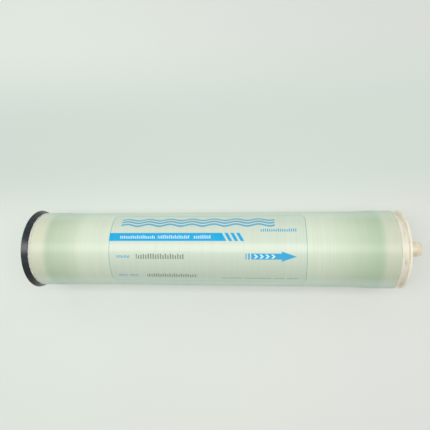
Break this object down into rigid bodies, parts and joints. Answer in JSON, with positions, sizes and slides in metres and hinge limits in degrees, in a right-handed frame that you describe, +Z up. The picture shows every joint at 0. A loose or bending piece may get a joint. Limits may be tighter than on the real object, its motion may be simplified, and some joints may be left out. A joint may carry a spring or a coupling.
{
  "type": "reverse osmosis membrane element",
  "caption": "Spiral-wound water filter element: drilled core tube, wound membrane leaves, glass fibre shell, spoked end caps and a rubber lip seal at the feed end.",
  "frame": {"origin": "on the tube's axis, half way between the tube's two tips", "axes": "+X along the axis from the feed end, which has the seal, to the brine end; +Z up through the middle of the label"},
  "size_m": [0.5334, 0.106, 0.106],
  "materials": {
    "tube_plastic": "satin beige moulding",
    "cap_plastic": "semi-gloss cream moulding",
    "seal_rubber": "satin black rubber",
    "shell_resin": "glossy wound glass fibre and resin, pale green cream",
    "label_film": "printed film under the gloss coat",
    "tape_film": "translucent green tape",
    "membrane": "matt off-white sheet",
    "spacer_net": "matt net",
    "carrier_cloth": "fine tricot cloth"
  },
  "bodies": {
    "root": {"permeate_tube": "tube_plastic", "carrier_wrap": "carrier_cloth", "feed_cap_ring": "cap_plastic", "feed_cap_spider": "cap_plastic", "brine_cap_ring": "cap_plastic", "brine_cap_spider": "cap_plastic", "brine_seal": "seal_rubber", "fibreglass_shell": "shell_resin", "tape_wrap": "tape_film", "label": "label_film", "membrane_leaf_1": "membrane", "membrane_leaf_2": "membrane", "membrane_leaf_3": "membrane", "membrane_leaf_4": "membrane", "feed_spacer_1": "spacer_net", "feed_spacer_2": "spacer_net", "feed_spacer_3": "spacer_net", "feed_spacer_4": "spacer_net"}
  },
  "joints": []
}
